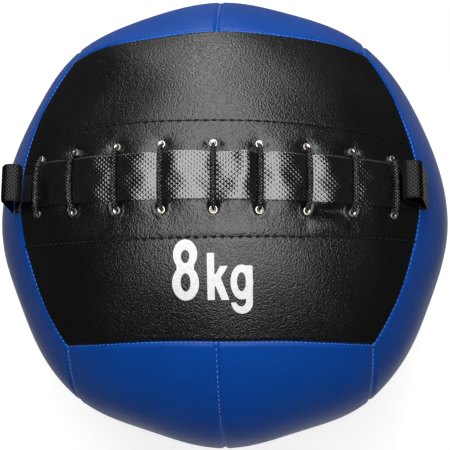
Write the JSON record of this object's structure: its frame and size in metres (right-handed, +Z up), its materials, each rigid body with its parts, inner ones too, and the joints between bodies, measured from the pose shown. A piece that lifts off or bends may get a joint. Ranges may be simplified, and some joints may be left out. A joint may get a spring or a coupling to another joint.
{
  "type": "wall ball",
  "caption": "Soft weighted wall ball with black and blue stitched panels, a laced closure with eyelets and a webbing loop at each end of it.",
  "frame": {"origin": "middle of the flat patch on the back panel that the soft ball rests on", "axes": "+Z up through the ball to the laced panel; +X along the lacing from the left loop to the right loop; +Y toward the top of the laced panel"},
  "size_m": [0.3499, 0.3508, 0.3492],
  "materials": {
    "black_leather": "grained synthetic leather, semi-matte",
    "blue_leather": "grained synthetic leather, satin",
    "coated_fabric": "glossy coated woven fabric",
    "black_webbing": "ribbed nylon webbing",
    "black_cord": "braided cord",
    "eyelet_metal": "nickel plate",
    "foam": "closed-cell foam sheet",
    "liner_cloth": "plain cotton cloth",
    "textile_fill": "packed shredded textile",
    "bag_cloth": "heavy cloth bag of sand"
  },
  "bodies": {
    "root": {"back_panel": "black_leather", "belt_panel_bottom_left": "blue_leather", "belt_panel_bottom_right": "blue_leather", "belt_panel_left": "blue_leather", "belt_panel_right": "blue_leather", "belt_panel_top_left": "blue_leather", "belt_panel_top_right": "blue_leather", "closure_strip": "coated_fabric", "closure_tongue": "foam", "eyelet_facing_lower": "black_leather", "eyelet_facing_upper": "black_leather", "eyelet_lower_1": "eyelet_metal", "eyelet_lower_2": "eyelet_metal", "eyelet_lower_3": "eyelet_metal", "eyelet_lower_4": "eyelet_metal", "eyelet_lower_5": "eyelet_metal", "eyelet_lower_6": "eyelet_metal", "eyelet_lower_7": "eyelet_metal", "eyelet_lower_8": "eyelet_metal", "eyelet_lower_9": "eyelet_metal", "eyelet_upper_1": "eyelet_metal", "eyelet_upper_2": "eyelet_metal", "eyelet_upper_3": "eyelet_metal", "eyelet_upper_4": "eyelet_metal", "eyelet_upper_5": "eyelet_metal", "eyelet_upper_6": "eyelet_metal", "eyelet_upper_7": "eyelet_metal", "eyelet_upper_8": "eyelet_metal", "eyelet_upper_9": "eyelet_metal", "fill_back": "textile_fill", "fill_front": "textile_fill", "foam_back": "foam", "foam_belt_bottom_left": "foam", "foam_belt_bottom_right": "foam", "foam_belt_left": "foam", "foam_belt_right": "foam", "foam_belt_top_left": "foam", "foam_belt_top_right": "foam", "foam_front_lower": "foam", "foam_front_upper": "foam", "front_panel_lower": "black_leather", "front_panel_upper": "black_leather", "inner_liner": "liner_cloth", "lace": "black_cord", "lace_knot_left": "black_cord", "lace_knot_right": "black_cord", "loop_tail_left": "black_webbing", "loop_tail_right": "black_webbing", "sand_bag": "bag_cloth"},
    "loop_left": {"pull_loop_left": "black_webbing"},
    "loop_right": {"pull_loop_right": "black_webbing"}
  },
  "joints": [
    {"name": "left_loop_fold", "type": "hinge", "parent": "root", "child": "loop_left", "pos_m": [-0.14673, 0, 0.27073], "axis": [0, -1, 0], "range_deg": [-12.5, 150]},
    {"name": "right_loop_fold", "type": "hinge", "parent": "root", "child": "loop_right", "pos_m": [0.14673, 0, 0.27073], "axis": [0, 1, 0], "range_deg": [0, 163]}
  ]
}
